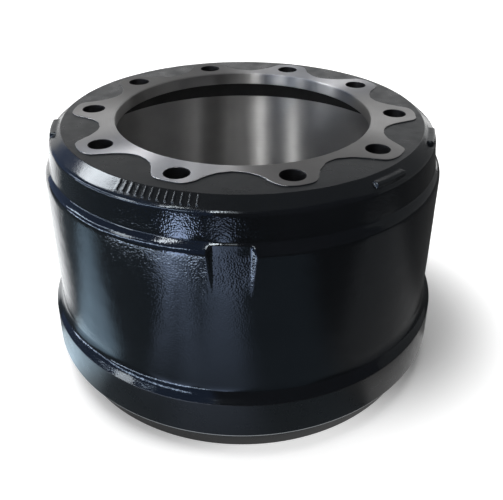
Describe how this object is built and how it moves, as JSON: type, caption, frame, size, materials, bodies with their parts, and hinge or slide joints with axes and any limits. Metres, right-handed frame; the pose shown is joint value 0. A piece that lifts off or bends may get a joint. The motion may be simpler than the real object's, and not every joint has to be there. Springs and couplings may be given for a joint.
{
  "type": "brake drum",
  "caption": "Cast-iron drum for a heavy truck or trailer axle, with a bolted hub flange, a central pilot bore, a stiffening band and an open braking end.",
  "frame": {"origin": "centre of the open end, on the plane that the drum stands on", "axes": "+Z along the drum's axis from the open end to the hub flange; -Y is the side seen from the front, midway between two bolt holes"},
  "size_m": [0.4744, 0.4744, 0.288],
  "materials": {
    "cast_iron": "gloss black paint with a blue cast over a pebbly cast skin; the raised flange pad, pilot bore, bolt holes and friction surface are bare machined iron"
  },
  "bodies": {
    "root": {"brake_drum": "cast_iron"}
  },
  "joints": []
}
